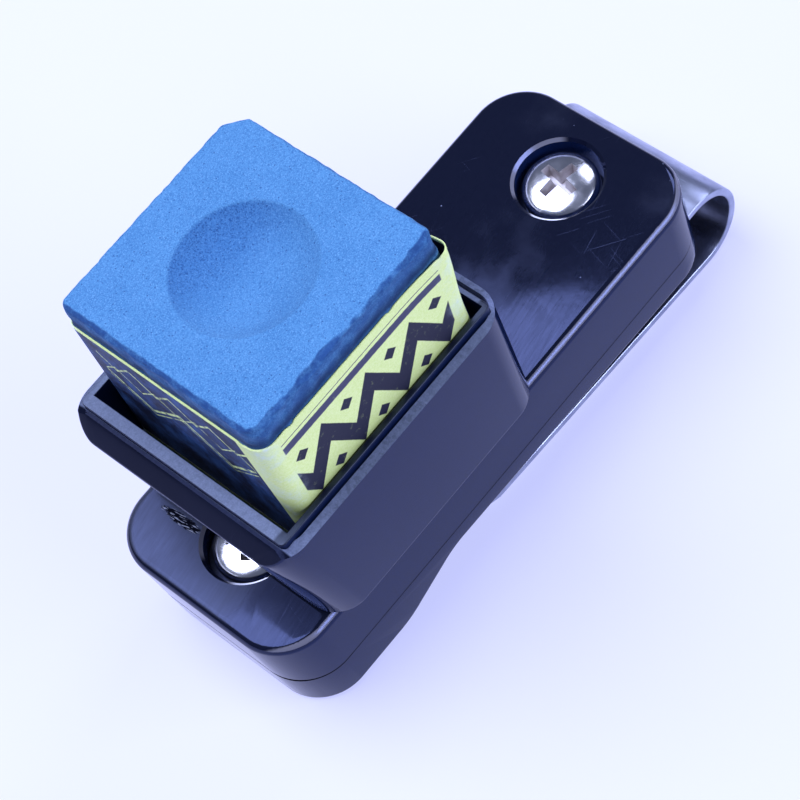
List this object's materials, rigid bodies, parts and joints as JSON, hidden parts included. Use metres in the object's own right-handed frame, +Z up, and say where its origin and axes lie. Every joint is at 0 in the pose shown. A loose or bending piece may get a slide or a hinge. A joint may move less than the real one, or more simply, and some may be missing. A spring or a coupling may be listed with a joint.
{
  "type": "cue chalk holder with belt clip",
  "caption": "Belt-worn holder for a cube of billiard cue chalk: a flat black case with a spring-steel clip and a square cup held on it by a magnet.",
  "frame": {"origin": "middle of the bounding box's underside, on the surface that the clip's leaf lies on", "axes": "+X along the holder to the clip's bend, +Z up off the clip's leaf, +Y across to the left seen from the nose"},
  "size_m": [0.0632, 0.0256, 0.0431],
  "materials": {
    "black_plastic": "glossy, lightly scratched",
    "black_liner": "glossy",
    "chrome_screw": "plated",
    "brass_insert": "turned",
    "plated_magnet": "nickel plated",
    "plain_steel": "plain",
    "spring_steel": "bright plated",
    "blue_chalk": "dusty, worn",
    "label_paper": "printed, chalk-stained"
  },
  "bodies": {
    "case": {"case_top": "black_plastic", "case_bottom": "black_plastic", "case_screws": "chrome_screw", "screw_inserts": "brass_insert", "case_magnet": "plated_magnet", "magnet_keeper": "plain_steel", "clip_base": "spring_steel"},
    "clip": {"clip_leaf": "spring_steel"},
    "cup_base": {"cup_plate": "plain_steel"},
    "cup": {"cup_shell": "black_plastic", "cup_liner": "black_liner"},
    "chalk": {"chalk_cube": "blue_chalk", "chalk_label": "label_paper"}
  },
  "joints": [
    {"name": "clip_flex", "type": "hinge", "parent": "case", "child": "clip", "pos_m": [0.03158, 0, 0.0051], "axis": [0, -1, 0], "range_deg": [0, 9], "stiffness_Nm_per_rad": 1.5},
    {"name": "cup_lift", "type": "slide", "parent": "case", "child": "cup_base", "axis": [-0.0628, 0, 0.998], "range_m": [0, 0.025]},
    {"name": "cup_swivel", "type": "hinge", "parent": "cup_base", "child": "cup", "pos_m": [-0.01276, 0, 0.01383], "axis": [-0.0628, 0, 0.998], "continuous": true},
    {"name": "chalk_lift", "type": "slide", "parent": "cup", "child": "chalk", "axis": [-0.0628, 0, 0.998], "range_m": [0, 0.02]}
  ]
}
